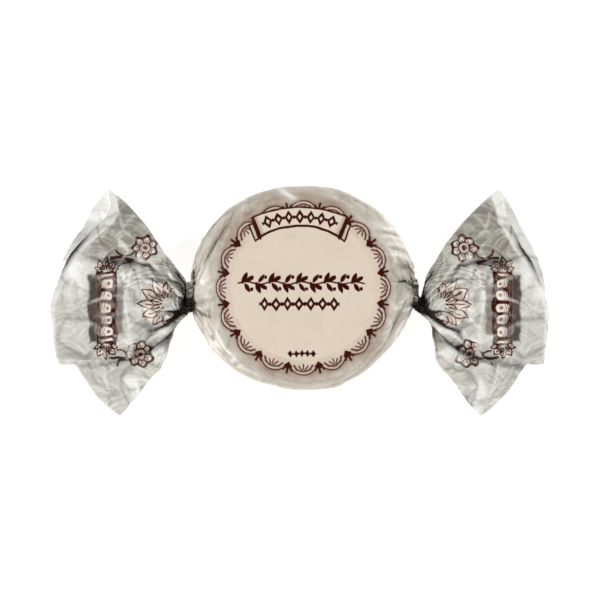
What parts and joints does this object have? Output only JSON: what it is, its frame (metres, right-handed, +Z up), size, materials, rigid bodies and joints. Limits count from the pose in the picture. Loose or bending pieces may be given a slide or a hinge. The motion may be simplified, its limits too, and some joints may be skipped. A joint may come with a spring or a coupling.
{
  "type": "wrapped mantecado",
  "caption": "Round coconut biscuit shut in one sheet of printed paper, twisted at both ends into flat fans of two pleated layers, like a large wrapped sweet.",
  "frame": {"origin": "at the centre of the bounding box on the surface that the biscuit lies on", "axes": "+X along the wrapper from fan to fan, +Z up out of the label"},
  "size_m": [0.1224, 0.0558, 0.0165],
  "materials": {
    "printed_paper": "thin translucent white paper with a soft sheen, printed in brown with a label in a scalloped border on the biscuit and scale arcs on the fans"
  },
  "bodies": {
    "root": {"wrapped_mantecado": "printed_paper"}
  },
  "joints": []
}
